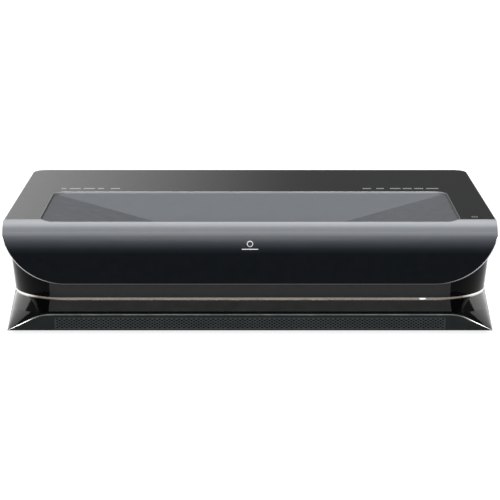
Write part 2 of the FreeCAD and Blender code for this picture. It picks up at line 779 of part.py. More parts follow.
def socket_hole(x, size):
    """Hole in the rear panel that clears a socket's shell."""
    width, height, _, wall = size
    half = width / 2 + wall + SOCKET_GAP
    return box((x - half, x + half), (BACK - 35, BACK + 25),
               (BOARD_TOP - SOCKET_GAP, BOARD_TOP + height + 2 * wall + SOCKET_GAP))


def hdmi_sockets():
    return Part.makeCompound([socket_shell(x, HDMI_SIZE) for x in HDMI_X])


def usb_sockets():
    return Part.makeCompound([socket_shell(x, USB_SIZE) for x in USB_X])


def audio_jack():
    """Headphone socket with a round nose and a 3.5 mm bore."""
    body_back = SOCKET_FACE - 2.0
    body = box((AUDIO_X - 4, AUDIO_X + 4), (body_back - 12, body_back), (BOARD_TOP, BOARD_TOP + 9))
    nose = rod((AUDIO_X, body_back, AUDIO_Z), (0, 1, 0), AUDIO_NOSE_R, 2.0)
    return body.fuse(nose).cut(rod((AUDIO_X, SOCKET_FACE - 13, AUDIO_Z), (0, 1, 0), 1.75, 20.0))


def ac_inlet():
    """Two-pole mains inlet: a shrouded cup with two pins."""
    x, z = INLET
    half, rise = INLET_HALF
    wall = 2.0
    cup = box((x - half, x + half), (SOCKET_FACE - 20, SOCKET_FACE), (z - rise, z + rise))
    cup = cup.cut(box((x - half + wall, x + half - wall), (SOCKET_FACE - 16, SOCKET_FACE + 1),
                      (z - rise + wall, z + rise - wall)))
    pins = [rod((x + dx, SOCKET_FACE - 18, z), (0, 1, 0), 1.2, 12.0) for dx in (-4.3, 4.3)]
    return fuse([cup] + pins)


def rear_panel(upper):
    """Socket panel with a hole for each socket and a row of vents."""
    depth = (BACK - 35, BACK + 25)
    cuts = [socket_hole(x, HDMI_SIZE) for x in HDMI_X]
    cuts += [socket_hole(x, USB_SIZE) for x in USB_X]
    cuts.append(socket_hole(LAN_X, LAN_SIZE))
    cuts.append(rod((AUDIO_X, depth[0], AUDIO_Z), (0, 1, 0), AUDIO_NOSE_R + SOCKET_GAP, 60))
    x, z = INLET
    half = INLET_HALF[0] + SOCKET_GAP
    rise = INLET_HALF[1] + SOCKET_GAP
    cuts.append(box((x - half, x + half), depth, (z - rise, z + rise)))
    vents = 22
    pitch = 9.0
    slot = 4.5
    for column in range(vents):
        left = -48.0 + column * pitch
        cuts.append(box((left, left + slot), depth, (90, 112)))
    return upper.common(rear_zone(0.0)).cut(cuts)


# --- Sound --------------------------------------------------------------
def speaker_enclosure():
    block = box((155, 262), (-136, -44), (14, 96)).cut(box((158, 259), (-133, -47), (17, 93)))
    opening = rod((SPEAKER_X, -140, SPEAKER_Z), (0, 1, 0), 24.0, 10.0)
    stud_room = rod((FOOT_X, FOOT_FRONT_Y, 0), (0, 0, 1), 9.0, 34.0)
    stud_cover = rod((FOOT_X, FOOT_FRONT_Y, 14), (0, 0, 1), 11.0, 22.0)
    shell = block.fuse(stud_cover).cut(stud_room)
    return shell.cut(opening).removeSplitter()


def speaker_driver():
    flange = pipe((SPEAKER_X, -138.5, SPEAKER_Z), (0, 1, 0), 29.0, 22.0, 2.5)
    basket = Part.makeCone(23.5, 15.0, 16.0, V(SPEAKER_X, -136, SPEAKER_Z), V(0, 1, 0))
    hollow = Part.makeCone(22.3, 13.8, 16.1, V(SPEAKER_X, -136.1, SPEAKER_Z), V(0, 1, 0))
    magnet = rod((SPEAKER_X, -120, SPEAKER_Z), (0, 1, 0), 18.0, 12.0)
    return flange.fuse([basket.cut(hollow), magnet]).removeSplitter()


def speaker_cone():
    outside = Part.makeCone(21.5, 8.0, 9.0, V(SPEAKER_X, -137.5, SPEAKER_Z), V(0, 1, 0))
    inside = Part.makeCone(20.9, 7.4, 9.0, V(SPEAKER_X, -138.1, SPEAKER_Z), V(0, 1, 0))
    cap = Part.makeSphere(11.0, V(SPEAKER_X, -129.5, SPEAKER_Z))
    cap = cap.common(rod((SPEAKER_X, -137.3, SPEAKER_Z), (0, 1, 0), 9.0, 7.5))
    return outside.cut(inside).fuse(cap).removeSplitter()


# --- Fans ---------------------------------------------------------------
def fan_frame():
    x0, x1 = FAN_X
    half = FAN / 2
    plate_body = box((x0, x1), (FAN_Y - half, FAN_Y + half), (FAN_Z - half, FAN_Z + half))
    plate_body = plate_body.cut(rod((x0 - 1, FAN_Y, FAN_Z), (1, 0, 0), 43.5, x1 - x0 + 2))
    parts = [plate_body, rod((x0, FAN_Y, FAN_Z), (1, 0, 0), 17.0, 3.0)]
    for turn in (45, 135, 225, 315):
        strut = box((x0, x0 + 3), (FAN_Y + 10, FAN_Y + 46), (FAN_Z - 1.5, FAN_Z + 1.5))
        strut.rotate(V(x0, FAN_Y, FAN_Z), V(1, 0, 0), turn)
        parts.append(strut)
    return fuse(parts)


def fan_rotor():
    x0 = FAN_X[0] + 4.0
    hub = rod((x0, FAN_Y, FAN_Z), (1, 0, 0), 17.0, 18.0)
    blades = []
    for index in range(7):
        blade = box((x0 + 8.2, x0 + 9.8), (FAN_Y - 11, FAN_Y + 11), (FAN_Z + 15, FAN_Z + 42))
        blade.rotate(V(x0 + 9, FAN_Y, FAN_Z), V(0, 0, 1), -50)
        blade.rotate(V(x0, FAN_Y, FAN_Z), V(1, 0, 0), 360 / 7 * index)
        blades.append(blade)
    room = rod((x0, FAN_Y, FAN_Z), (1, 0, 0), 42.0, 19.5)
    return fuse([hub] + blades).common(room)


# --- Power button -------------------------------------------------------
def power_button():
    x, y = BUTTON
    cap = rod((x, y, TOP - 6.0), (0, 0, 1), BUTTON_R, 6.0)
    collar = rod((x, y, TOP - DECK_SKIN - 1.4), (0, 0, 1), BUTTON_R + 1.5, 1.2)
    stem = rod((x, y, TOP - 11.0), (0, 0, 1), 1.5, 5.5)
    return fuse([cap, collar, stem])


def power_switch():
    x, y = BUTTON
    low = TOP - 16.4
    high = low + 1.4
    board = box((x - 9, x + 9), (y - 9, y + 9), (low, high))
    switch = box((x - 3, x + 3), (y - 3, y + 3), (high, TOP - 12.2))
    legs = [rod((x + dx, y + 6, high), (0, 0, 1), 1.5, TOP - DECK_SKIN - high) for dx in (-10.5, 10.5)]
    tabs = [box((x - 12, x + 12), (y + 4, y + 8), (low, high))]
    return fuse([board, switch] + tabs + legs)


# --- Export -------------------------------------------------------------
upper = skin(UPPER_SECTIONS).cut(trim_zone())
lower = skin(LOWER_SECTIONS).cut(trim_zone())
right_shell = side_shell(upper)
right_grille = side_grille(upper)
enclosure = speaker_enclosure()
driver = speaker_driver()
frame = fan_frame()
rotor = fan_rotor()
cone = speaker_cone()

pieces = {
    "top_cover": top_cover(),
    "front_visor": front_visor(),
    "visor_trim": visor_trim(),
    "recess_liner": recess_liner(),
    "recess_bezel": recess_bezel(),
    "projection_window": projection_window(),
    "window_gasket": window_gasket(),
    "side_shell_right": right_shell,
    "side_shell_left": mirror_x(right_shell),
    "side_grille_right": right_grille,
    "side_grille_left": mirror_x(right_grille),
    "upper_front_panel": front_panel(upper, WAIST_Z, FRONT_PANEL_TOP),
    "lower_front_panel": front_panel(lower, BAND_BOTTOM, WAIST_Z),
    "waist_trim": waist_trim(),
    "status_led_lens": led_block(0.8),
    "base_skirt": base_skirt(lower),
    "base_tray": base_tray(),
    "plinth_frame": plinth_frame(),
    "plinth_mesh": plinth_mesh(),
    "rear_panel": rear_panel(upper),
    "hdmi_sockets": hdmi_sockets(),
    "usb_sockets": usb_sockets(),
    "lan_socket": socket_shell(LAN_X, LAN_SIZE),
    "audio_jack": audio_jack(),
    "ac_inlet": ac_inlet(),
    "power_button": power_button(),
    "power_switch": power_switch(),
    "chassis_plate": chassis_plate(),
    "engine_housing": engine_housing(),
    "lens_barrel": lens_barrel(),
    "lens_elements": lens_elements(),
    "focus_motor": focus_motor(),
    "focus_leadscrew": focus_leadscrew(),
    "focus_carriage": focus_carriage(),
    "focus_lens": focus_lens(),
    "aspheric_mirror": aspheric_mirror(),
    "mirror_bracket": mirror_bracket(),
    "dmd_heatsink": finned_block((-30, 30), (112, 142), (32, 90), 4.0, 1.6, 5.8),
    "wheel_motor": wheel_motor(),
    "phosphor_wheel": phosphor_wheel(),
    "laser_module": laser_module(),
    "heat_pipes": heat_pipes(),
    "fin_stack": fin_stack(),
    "main_board": main_board(),
    "power_supply": power_supply(),
    "speaker_enclosures": Part.makeCompound([enclosure, mirror_x(enclosure)]),
    "speaker_drivers": Part.makeCompound([driver, mirror_x(driver)]),
    "speaker_cone_right": cone,
    "speaker_cone_left": mirror_x(cone),
    "fan_frames": Part.makeCompound([frame, mirror_x(frame)]),
    "exhaust_fan_rotor": rotor,
    "intake_fan_rotor": mirror_x(rotor),
    "case_screws": case_screws(),
    "rear_feet": rear_feet(),
}
for side, x in (("right", FOOT_X), ("left", -FOOT_X)):
    pieces["foot_stud_" + side] = foot_stud(x)
    pieces["foot_disc_" + side] = foot_disc(x)
    pieces["foot_pad_" + side] = foot_pad(x)

for name, shape in pieces.items():
    export(name, shape)
    print(name, len(shape.Solids), round(shape.Volume / 1000, 1), shape.isValid())
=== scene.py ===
import json
import math

import bmesh
import bpy
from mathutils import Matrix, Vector


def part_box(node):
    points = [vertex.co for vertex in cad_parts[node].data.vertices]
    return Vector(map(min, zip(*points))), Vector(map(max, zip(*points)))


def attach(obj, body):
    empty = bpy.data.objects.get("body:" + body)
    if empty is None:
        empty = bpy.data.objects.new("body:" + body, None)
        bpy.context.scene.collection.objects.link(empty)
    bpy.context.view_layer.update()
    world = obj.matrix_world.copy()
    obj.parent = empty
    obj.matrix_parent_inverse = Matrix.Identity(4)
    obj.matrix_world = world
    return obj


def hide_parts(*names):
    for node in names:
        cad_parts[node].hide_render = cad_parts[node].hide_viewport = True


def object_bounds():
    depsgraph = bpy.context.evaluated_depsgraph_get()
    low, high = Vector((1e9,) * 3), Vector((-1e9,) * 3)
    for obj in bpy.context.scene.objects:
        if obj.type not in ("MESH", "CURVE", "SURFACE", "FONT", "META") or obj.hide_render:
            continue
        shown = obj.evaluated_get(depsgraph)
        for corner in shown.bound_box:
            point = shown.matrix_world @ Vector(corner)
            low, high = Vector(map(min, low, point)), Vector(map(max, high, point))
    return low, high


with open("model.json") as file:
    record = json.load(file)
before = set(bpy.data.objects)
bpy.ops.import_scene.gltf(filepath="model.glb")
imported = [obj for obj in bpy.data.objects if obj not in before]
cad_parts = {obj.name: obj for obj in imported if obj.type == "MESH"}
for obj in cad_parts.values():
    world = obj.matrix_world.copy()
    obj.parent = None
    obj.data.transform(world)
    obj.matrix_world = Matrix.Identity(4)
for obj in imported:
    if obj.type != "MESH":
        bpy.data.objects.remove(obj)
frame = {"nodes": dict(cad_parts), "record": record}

# Studio, finishes and added pieces of a home projector, in metres in the CAD's frame.
CAD_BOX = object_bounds()
NODES = frame["nodes"]
SCENE = bpy.context.scene
MM = 0.001

# --- Camera and studio ----------------------------------------------------
CAMERA_DISTANCE = 2.3118      # in front of the origin, along -Y
CAMERA_HEIGHT = 0.6101
CAMERA_PITCH = 13.15          # degrees below the horizontal
SENSOR = 36.0
LENS = 130.5
KEY_STRENGTH = 5.2
KEY_ELEVATION = 25.0          # degrees above the horizon
KEY_ANGLE = 35.0
CARD_RADIANCE = 3.6
CARD_SIZE = (2.85, 2.37)      # upright card along each side
CARD_PLACE = (1.88, 1.325, 1.235)
FLAGGED = ("top_cover", "power_button", "recess_liner", "recess_bezel")     # the cards skip these
DOME = (0.10, 0.25)           # radiance of the dome near the horizon and overhead
DOME_RISE = (0.25, 0.95)      # height of the direction where the dome starts and stops rising
GLOW_STRENGTH = 0.92
GLOW_X = (0.02, -0.16)        # where the glow starts and is full, for each part of the direction
GLOW_Y = (0.2, 0.7)
GLOW_Z = (0.6, 0.3)
FLOOR_SIZE = 30.0
FLOOR_ALBEDO = 0.45
FLOOR_GLOW = 0.80
DECK_TOP = CAD_BOX[1][2]
WHITE = (1.0, 1.0, 1.0, 1.0)


def make_camera():
    data = bpy.data.cameras.new("camera")
    data.sensor_width = SENSOR
    data.lens = LENS
    camera = bpy.data.objects.new("camera", data)
    camera.location = (0.0, -CAMERA_DISTANCE, CAMERA_HEIGHT)
    camera.rotation_euler = (math.radians(90.0 - CAMERA_PITCH), 0.0, 0.0)
    SCENE.collection.objects.link(camera)
    SCENE.camera = camera


def area_light(name, location, target, size, radiance):
    """Card that shows only in gloss; its power follows from its size and radiance."""
    data = bpy.data.lights.new(name, "AREA")
    data.shape = "RECTANGLE"
    data.size = size[0]
    data.size_y = size[1]
    data.energy = radiance * size[0] * size[1] * math.pi
    light = bpy.data.objects.new(name, data)
    light.location = location
    aim = Vector(target) - Vector(location)
    light.rotation_euler = aim.to_track_quat("-Z", "Y").to_euler()
    light.visible_diffuse = False
    SCENE.collection.objects.link(light)
    return light


def flag_off(light, nodes):
    """Keeps a light off some nodes, as a flag on a stand does."""
    shaded = bpy.data.collections.new("flagged off")
    for node in nodes:
        shaded.objects.link(NODES[node])
    light.light_linking.receiver_collection = shaded
    for entry in shaded.collection_objects:
        entry.light_linking.link_state = "EXCLUDE"


def key_light():
    """Broad light from the front, a little higher than the camera."""
    data = bpy.data.lights.new("key", "SUN")
    data.energy = KEY_STRENGTH
    data.angle = math.radians(KEY_ANGLE)
    light = bpy.data.objects.new("key", data)
    light.rotation_euler = (math.radians(90.0 - KEY_ELEVATION), 0.0, 0.0)
    SCENE.collection.objects.link(light)


def map_range(tree, value, source, target):
    """Takes value from one range, as (start, end), to another, and holds it there."""
    node = tree.nodes.new("ShaderNodeMapRange")
    for name, number in zip(("From Min", "From Max", "To Min", "To Max"), (*source, *target)):
        node.inputs[name].default_value = number
    tree.links.new(value, node.inputs["Value"])
    return node.outputs[0]


def multiply(tree, first, second):
    node = tree.nodes.new("ShaderNodeMath")
    node.operation = "MULTIPLY"
    tree.links.new(first, node.inputs[0])
    tree.links.new(second, node.inputs[1])
    return node.outputs[0]


def make_world():
    """Dim dome that brightens overhead, with a soft glow low at the back left."""
    world = bpy.data.worlds.new("studio")
    world.use_nodes = True
    tree = world.node_tree
    back = tree.nodes["Background"]
    back.inputs["Color"].default_value = WHITE
    coords = tree.nodes.new("ShaderNodeTexCoord")
    split = tree.nodes.new("ShaderNodeSeparateXYZ")
    tree.links.new(coords.outputs["Generated"], split.inputs[0])
    x, y, z = split.outputs
    dome = map_range(tree, z, DOME_RISE, DOME)
    glow = map_range(tree, x, GLOW_X, (0.0, GLOW_STRENGTH))
    glow = multiply(tree, glow, map_range(tree, y, GLOW_Y, (0.0, 1.0)))
    glow = multiply(tree, glow, map_range(tree, z, GLOW_Z, (0.0, 1.0)))
    total = tree.nodes.new("ShaderNodeMath")
    total.operation = "ADD"
    tree.links.new(dome, total.inputs[0])
    tree.links.new(glow, total.inputs[1])
    tree.links.new(total.outputs[0], back.inputs["Strength"])
    SCENE.world = world


def make_floor():
    """Plain floor that glows a little, so that it stays white under the object's edge."""
    bpy.ops.mesh.primitive_plane_add(size=FLOOR_SIZE, location=(0.0, 0.0, 0.0))
    floor = bpy.context.object
    floor.name = "floor"
    material = bpy.data.materials.new("floor")
    material.use_nodes = True
    shader = material.node_tree.nodes["Principled BSDF"]
    shader.inputs["Base Color"].default_value = (FLOOR_ALBEDO, FLOOR_ALBEDO, FLOOR_ALBEDO, 1.0)
    shader.inputs["Emission Color"].default_value = WHITE
    shader.inputs["Emission Strength"].default_value = FLOOR_GLOW
    shader.inputs["Roughness"].default_value = 0.9
    shader.inputs["Specular IOR Level"].default_value = 0.0
    floor.data.materials.append(material)


def make_studio():
    SCENE.view_settings.view_transform = "Standard"
    make_world()
    make_floor()
    key_light()
    for side in (-1, 1):
        place = (side * CARD_PLACE[0], *CARD_PLACE[1:])
        card = area_light("card", place, (0.0, *CARD_PLACE[1:]), CARD_SIZE, CARD_RADIANCE)
        flag_off(card, FLAGGED)


# --- Material tools -------------------------------------------------------
SOFT_EDGE = 0.2 * MM          # half width of the edge of a printed mark


class Surface:
    """A Principled material with the small helpers that every finish shares."""

    def __init__(self, name, colour, roughness, metallic=0.0, specular=0.5):
        self.material = bpy.data.materials.new(name)
        self.material.use_nodes = True
        self.tree = self.material.node_tree
        self.shader = self.tree.nodes["Principled BSDF"]
        self.shader.inputs["Base Color"].default_value = (*colour, 1.0)
        self.shader.inputs["Roughness"].default_value = roughness
        self.shader.inputs["Metallic"].default_value = metallic
        self.shader.inputs["Specular IOR Level"].default_value = specular
        self.colour = None
        self.base = (*colour, 1.0)
        self.coords = self.tree.nodes.new("ShaderNodeTexCoord").outputs["Object"]

    def link(self, output, target):
        self.tree.links.new(output, target)

    def math(self, kind, first, second=0.0, clamp=False):
        node = self.tree.nodes.new("ShaderNodeMath")
        node.operation = kind
        node.use_clamp = clamp
        for socket, value in zip(node.inputs, (first, second)):
            if isinstance(value, (int, float)):
                socket.default_value = value
            else:
                self.link(value, socket)
        return node.outputs[0]

    def axis(self, index):
        split = self.tree.nodes.new("ShaderNodeSeparateXYZ")
        self.link(self.coords, split.inputs[0])
        return split.outputs[index]

    def noise(self, scale, detail=2.0, stretch=(1.0, 1.0, 1.0)):
        mapping = self.tree.nodes.new("ShaderNodeMapping")
        mapping.inputs["Scale"].default_value = stretch
        self.link(self.coords, mapping.inputs["Vector"])
        node = self.tree.nodes.new("ShaderNodeTexNoise")
        node.inputs["Scale"].default_value = scale
        node.inputs["Detail"].default_value = detail
        self.link(mapping.outputs[0], node.inputs["Vector"])
        return node.outputs[0]

    def span(self, value, low, high, from_low=0.3, from_high=0.7):
        """Spreads value from low to high; the source range is that of a noise unless given."""
        return map_range(self.tree, value, (from_low, from_high), (low, high))

    def mix(self, factor, other):
        """Mixes a colour over what the base colour is so far."""
        node = self.tree.nodes.new("ShaderNodeMix")
        node.data_type = "RGBA"
        if self.colour is None:
            node.inputs[6].default_value = self.base
        else:
            self.link(self.colour, node.inputs[6])
        node.inputs[7].default_value = (*other, 1.0)
        self.link(factor, node.inputs[0])
        self.colour = node.outputs[2]
        self.link(self.colour, self.shader.inputs["Base Color"])

    def vary_roughness(self, low, high, scale, stretch=(1.0, 1.0, 1.0)):
        self.link(self.span(self.noise(scale, 4.0, stretch), low, high), self.shader.inputs["Roughness"])

    def mottle(self, colour, scale, amount):
        self.mix(self.span(self.noise(scale, 3.0), 0.0, amount), colour)

    def bump(self, height, distance, strength=1.0):
        node = self.tree.nodes.new("ShaderNodeBump")
        node.inputs["Strength"].default_value = strength
        node.inputs["Distance"].default_value = distance
        self.link(height, node.inputs["Height"])
        normal = self.shader.inputs["Normal"]
        if normal.is_linked:
            self.link(normal.links[0].from_socket, node.inputs["Normal"])
        self.link(node.outputs[0], normal)

    def edge_mask(self, radius, low=0.02, high=0.25):
        """1 near sharp edges, from the difference between rounded and true normals."""
        rounded = self.tree.nodes.new("ShaderNodeBevel")
        rounded.samples = 4
        rounded.inputs["Radius"].default_value = radius
        true = self.tree.nodes.new("ShaderNodeNewGeometry")
        dot = self.tree.nodes.new("ShaderNodeVectorMath")
        dot.operation = "DOT_PRODUCT"
        self.link(rounded.outputs[0], dot.inputs[0])
        self.link(true.outputs["Normal"], dot.inputs[1])
        return self.span(self.math("SUBTRACT", 1.0, dot.outputs["Value"]), 0.0, 1.0, low, high)

    def wear(self, colour, radius, amount):
        """Handled edges, a little paler and broken up by noise."""
        patchy = self.span(self.noise(90.0, 4.0), 0.2, 1.0)
        factor = self.math("MULTIPLY", self.edge_mask(radius), patchy)
        self.mix(self.math("MULTIPLY", factor, amount, clamp=True), colour)

    def ends(self, start, full):
        """0 in the middle of a long piece, 1 near both its ends."""
        return self.span(self.math("ABSOLUTE", self.axis(0)), 0.0, 1.0, start, full)

    def box_mask(self, centre, half):
        """1 inside a rectangle of the XY plane, with slightly soft edges."""
        masks = []
        for index in range(2):
            offset = self.math("ABSOLUTE", self.math("SUBTRACT", self.axis(index), centre[index]))
            masks.append(self.span(offset, 1.0, 0.0, half[index] - SOFT_EDGE, half[index] + SOFT_EDGE))
        return self.math("MULTIPLY", masks[0], masks[1])


# --- Finishes -------------------------------------------------------------
PRINT_Y = 40.7 * MM           # row of small printed marks behind the recess
PRINT_DEPTH = 6.0 * MM
PRINT_PITCH = 2.6 * MM        # of the unlettered ticks that make up each mark
# Start and end of each mark across the deck, chosen in whole millimetres
PRINTS = ((-249, -243), (-238, -224), (-220, -205), (-201, -193), (-184, -172),
          (149, 160), (167, 177), (185, 199), (202, 214), (217, 229), (233, 249))
PRINT_COLOUR = (0.62, 0.625, 0.63)
DECK_COLOUR = (0.020, 0.0205, 0.0215)
BRUSHED = (0.15, 1.0, 1.0)    # stretches noise along X


def satin_deck():
    """Satin black with the row of printed marks on its top face only."""
    s = Surface("satin_deck", DECK_COLOUR, 0.24, specular=0.5)
    s.vary_roughness(0.225, 0.255, 400.0, BRUSHED)
    s.mottle((0.024, 0.0245, 0.0255), 140.0, 0.5)
    s.wear((0.06, 0.06, 0.063), 0.0008, 0.4)
    marks = None
    for low, high in PRINTS:
        centre = ((low + high) / 2 * MM, PRINT_Y)
        mask = s.box_mask(centre, ((high - low) / 2 * MM, PRINT_DEPTH / 2))
        marks = mask if marks is None else s.math("MAXIMUM", marks, mask)
    top = s.span(s.axis(2), 0.0, 1.0, DECK_TOP - 0.3 * MM, DECK_TOP - 0.1 * MM)
    ticks = s.span(s.math("FRACT", s.math("DIVIDE", s.axis(0), PRINT_PITCH)), 0.35, 1.0, 0.25, 0.35)
    marks = s.math("MULTIPLY", marks, ticks)
    s.mix(s.math("MULTIPLY", s.math("MULTIPLY", marks, top), 0.85), PRINT_COLOUR)
    s.bump(s.noise(2400.0), 0.00003, 0.5)
    return s.material


SYMBOL_RADIUS = 3.4 * MM
SYMBOL_STROKE = 0.45 * MM     # half width of its lines
SYMBOL_GAP = 1.3 * MM         # half width of the opening in the ring
SYMBOL_BAR = (2.9 * MM, 1.9 * MM)     # the bar's middle and half length, back from the centre


def button_cap():
    """The deck's finish with a line-drawn power symbol: an open ring and a bar."""
    s = Surface("button_cap", DECK_COLOUR, 0.24)
    s.vary_roughness(0.20, 0.28, 60.0)
    low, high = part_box("power_button")
    cx = (low[0] + high[0]) / 2
    cy = (low[1] + high[1]) / 2
    dx = s.math("SUBTRACT", s.axis(0), cx)
    dy = s.math("SUBTRACT", s.axis(1), cy)
    reach = s.math("SQRT", s.math("ADD", s.math("MULTIPLY", dx, dx), s.math("MULTIPLY", dy, dy)))

    def within(value, middle, half):
        return s.math("LESS_THAN", s.math("ABSOLUTE", s.math("SUBTRACT", value, middle)), half)

    ring = within(reach, SYMBOL_RADIUS, SYMBOL_STROKE)
    gap = s.math("MULTIPLY", within(dx, 0.0, SYMBOL_GAP), s.math("GREATER_THAN", dy, 0.0))
    ring = s.math("MULTIPLY", ring, s.math("SUBTRACT", 1.0, gap))
    bar = s.math("MULTIPLY", within(dx, 0.0, SYMBOL_STROKE), within(dy, *SYMBOL_BAR))
    top = s.math("GREATER_THAN", s.axis(2), DECK_TOP - 0.2 * MM)
    s.mix(s.math("MULTIPLY", s.math("MAXIMUM", ring, bar), top), PRINT_COLOUR)
    s.bump(s.noise(2400.0), 0.00003, 0.5)
    return s.material


# Painted highlight and shade down the visor: heights in millimetres, each with its colour
VISOR_PAINTED_SHEEN = ((106.0, (0.0008, 0.0014, 0.0022)), (112.0, (0.005, 0.0062, 0.0078)),
              (119.0, (0.021, 0.023, 0.027)), (127.0, (0.040, 0.043, 0.049)),
              (137.0, (0.146, 0.153, 0.164)), (144.0, (0.42, 0.43, 0.45)))


def visor_gloss():
    """Blue-black lacquer with painted shade low down and a painted highlight that lightens it to a silver
    grey over the roll at the top.
    """
    s = Surface("visor_gloss", VISOR_PAINTED_SHEEN[0][1], 0.16, specular=0.05)
    ramp = s.tree.nodes.new("ShaderNodeValToRGB")
    lowest = VISOR_PAINTED_SHEEN[0][0]
    highest = VISOR_PAINTED_SHEEN[-1][0]
    points = ramp.color_ramp.elements
    for index, (height, colour) in enumerate(VISOR_PAINTED_SHEEN):
        place = (height - lowest) / (highest - lowest)
        point = points.new(place) if 0.0 < place < 1.0 else points[0 if index == 0 else -1]
        point.position = place
        point.color = (*colour, 1.0)
    # the ramp paints the highlight and the shade by height
    s.link(s.span(s.axis(2), 0.0, 1.0, lowest * MM, highest * MM), ramp.inputs[0])
    s.colour = ramp.outputs["Color"]
    s.mottle((0.02, 0.021, 0.023), 90.0, 0.03)
    s.vary_roughness(0.14, 0.20, 40.0)
    s.bump(s.noise(1800.0), 0.00002, 0.3)
    return s.material


def trim(name, colour, roughness, metallic, painted_highlight=None, highlight_span=(0.0, 1.0)):
    """Strip with fine brushing along its length; its ends can carry a painted highlight."""
    s = Surface(name, colour, roughness, metallic=metallic)
    s.vary_roughness(roughness - 0.08, roughness + 0.08, 500.0, BRUSHED)
    s.mottle(tuple(0.8 * c for c in colour), 30.0, 0.6)
    if painted_highlight:
        # painted highlight towards both ends of the strip
        s.mix(s.ends(*highlight_span), painted_highlight)
    s.bump(s.noise(3000.0, 2.0, BRUSHED), 0.00002, 0.4)
    return s.material


RECESS_GREY = (0.140, 0.148, 0.158)
BEZEL_COLOUR = (0.30, 0.30, 0.305)
BEZEL_LINE = 1.2 * MM         # height of the bright line at the top of the recess's frame


def bezel_silver():
    """Bright line along the top of the frame, in the recess's grey below it."""
    s = Surface("bezel_silver", RECESS_GREY, 0.40, metallic=0.2)
    s.vary_roughness(0.32, 0.48, 500.0, BRUSHED)
    s.mottle(tuple(0.9 * c for c in RECESS_GREY), 30.0, 0.6)
    edge = DECK_TOP - BEZEL_LINE
    s.mix(s.span(s.axis(2), 0.0, 1.0, edge - 0.1 * MM, edge + 0.1 * MM), BEZEL_COLOUR)
    s.bump(s.noise(3000.0, 2.0, BRUSHED), 0.00002, 0.4)
    return s.material


def recess_plastic():
    """Matt grey moulding of the light path."""
    s = Surface("recess_plastic", RECESS_GREY, 0.5, specular=0.2)
    s.vary_roughness(0.44, 0.56, 70.0)
    s.mottle((0.148, 0.156, 0.166), 60.0, 0.6)
    s.bump(s.noise(1500.0, 3.0), 0.00003, 0.3)
    return s.material


def piano_black(name, specular):
    """Black lacquer with handled edges."""
    s = Surface(name, (0.0010, 0.0010, 0.0012), 0.07, specular=specular)
    s.vary_roughness(0.05, 0.10, 30.0)
    s.wear((0.02, 0.02, 0.02), 0.0005, 0.4)
    s.bump(s.noise(35.0, 1.0), 0.00002, 0.2)
    return s.material


def moulded(name, colour, roughness, grain=1400.0, depth=0.00008, specular=0.4, worn=0.5):
    """Textured moulding with paler handled edges."""
    s = Surface(name, colour, roughness, specular=specular)
    s.vary_roughness(roughness - 0.07, roughness + 0.07, 80.0)
    s.mottle(tuple(1.35 * c for c in colour), 30.0, 0.7)
    if worn:
        s.wear(tuple(2.2 * c + 0.01 for c in colour), 0.0006, worn)
    s.bump(s.noise(grain, 3.0), depth, 0.6)
    return s.material


UPPER_PANEL_PAINTED_SHADE = (0.0034, 0.0036, 0.0038)


def front_panels():
    """Fine-grained panels; the upper one, which leans forward, carries painted shade that makes it darker.
    """
    s = Surface("panel_grey", (0.0092, 0.0094, 0.0096), 0.45, specular=0.3)
    s.vary_roughness(0.38, 0.52, 80.0)
    s.mottle((0.0124, 0.0127, 0.0130), 30.0, 0.7)
    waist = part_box("waist_trim")[0][2]
    # painted shade over the panel above the waist
    s.mix(s.span(s.axis(2), 0.0, 0.85, waist, waist + MM), UPPER_PANEL_PAINTED_SHADE)
    s.wear((0.030, 0.031, 0.031), 0.0006, 0.5)
    s.bump(s.noise(900.0, 3.0), 0.00008, 0.6)
    return s.material


def metal(name, colour, roughness, stretch=(0.05, 1.0, 1.0)):
    """Bare metal, drawn along X unless its noise isn't stretched."""
    s = Surface(name, colour, roughness, metallic=1.0)
    s.vary_roughness(roughness - 0.08, roughness + 0.10, 300.0, stretch)
    s.mottle(tuple(0.8 * c for c in colour), 40.0, 0.5)
    s.wear(tuple(min(1.0, 1.25 * c) for c in colour), 0.0004, 0.6)
    s.bump(s.noise(900.0, 2.0, stretch), 0.00003, 0.4)
    return s.material


CHAMFER_DEPTH = 1.05 * MM     # how far back the plinth's polished edge reaches
CHAMFER_TILT = 0.3            # least upward lean of its normal
CHAMFER_METAL = (0.34, 0.37, 0.37)
CHAMFER_PAINTED_HIGHLIGHT = (0.92, 0.92, 0.92)
CHAMFER_HIGHLIGHT_SPAN = (0.258, 0.272)     # where the painted highlight at the ends starts and is full, across


def painted_plinth():
    """Dark teal-grey paint; the chamfer round the front is polished bare, with a painted highlight towards
    its ends.
    """
    s = Surface("plinth_grey", (0.0024, 0.0034, 0.0034), 0.33, specular=0.10)
    s.vary_roughness(0.28, 0.40, 90.0)
    s.mottle((0.0040, 0.0052, 0.0052), 120.0, 0.6)
    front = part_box("plinth_frame")[0][1]
    geometry = s.tree.nodes.new("ShaderNodeNewGeometry")
    split = s.tree.nodes.new("ShaderNodeSeparateXYZ")
    s.link(geometry.outputs["Normal"], split.inputs[0])
    near = s.math("LESS_THAN", s.axis(1), front + CHAMFER_DEPTH)
    tilted = s.math("GREATER_THAN", split.outputs["Z"], CHAMFER_TILT)
    polished = s.math("MULTIPLY", near, tilted)
    s.mix(polished, CHAMFER_METAL)
    # painted highlight on the chamfer near both ends
    s.mix(s.math("MULTIPLY", polished, s.ends(*CHAMFER_HIGHLIGHT_SPAN)), CHAMFER_PAINTED_HIGHLIGHT)
    s.link(polished, s.shader.inputs["Metallic"])
    s.bump(s.noise(1600.0, 3.0), 0.00005, 0.5)
    return s.material


